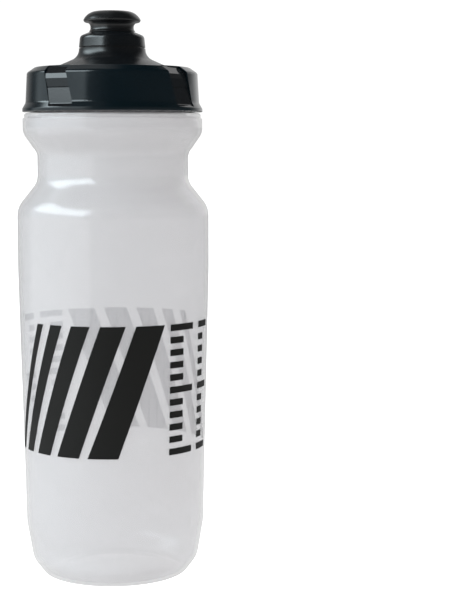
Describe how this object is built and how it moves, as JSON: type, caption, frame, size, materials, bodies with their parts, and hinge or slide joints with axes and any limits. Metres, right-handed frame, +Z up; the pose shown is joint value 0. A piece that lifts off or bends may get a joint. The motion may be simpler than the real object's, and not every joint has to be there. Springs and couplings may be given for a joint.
{
  "type": "bicycle water bottle",
  "caption": "Translucent squeeze bottle with a waisted grip, a screw cap, a push-pull nozzle and plain printed bars.",
  "frame": {"origin": "centre of the base, on the surface that the bottle stands on", "axes": "+Z up along the bottle's axis, -Y towards the front print, +X to the right of someone facing it"},
  "size_m": [0.073, 0.073, 0.2153],
  "materials": {
    "frosted_plastic": "frosted translucent low-density polyethylene",
    "black_ink": "flat printed ink",
    "satin_black": "satin moulded",
    "gloss_black": "polished moulded",
    "soft_black": "soft satin",
    "white_silicone": "smooth"
  },
  "bodies": {
    "bottle": {"bottle_body": "frosted_plastic", "print_front": "black_ink", "print_back": "black_ink"},
    "gasket": {"cap_gasket": "white_silicone"},
    "cap": {"inner_cap": "satin_black", "cap_shell": "gloss_black", "collar_ring": "satin_black", "shutoff_plug": "satin_black"},
    "nozzle": {"nozzle_core": "satin_black", "nozzle_cover": "soft_black", "nozzle_seal": "white_silicone"}
  },
  "joints": [
    {"name": "cap_rise", "type": "slide", "parent": "bottle", "child": "gasket", "axis": [0, 0, 1], "range_m": [0, 0.015]},
    {"name": "cap_turn", "type": "hinge", "parent": "gasket", "child": "cap", "pos_m": [0, 0, 0.1845], "axis": [0, 0, 1], "range_deg": [0, 1080]},
    {"name": "nozzle_pull", "type": "slide", "parent": "cap", "child": "nozzle", "axis": [0, 0, 1], "range_m": [0, 0.006]}
  ],
  "couplings": [
    {"joint": "cap_rise", "follows": "cap_turn", "m_per_rad": 0.00079577}
  ]
}
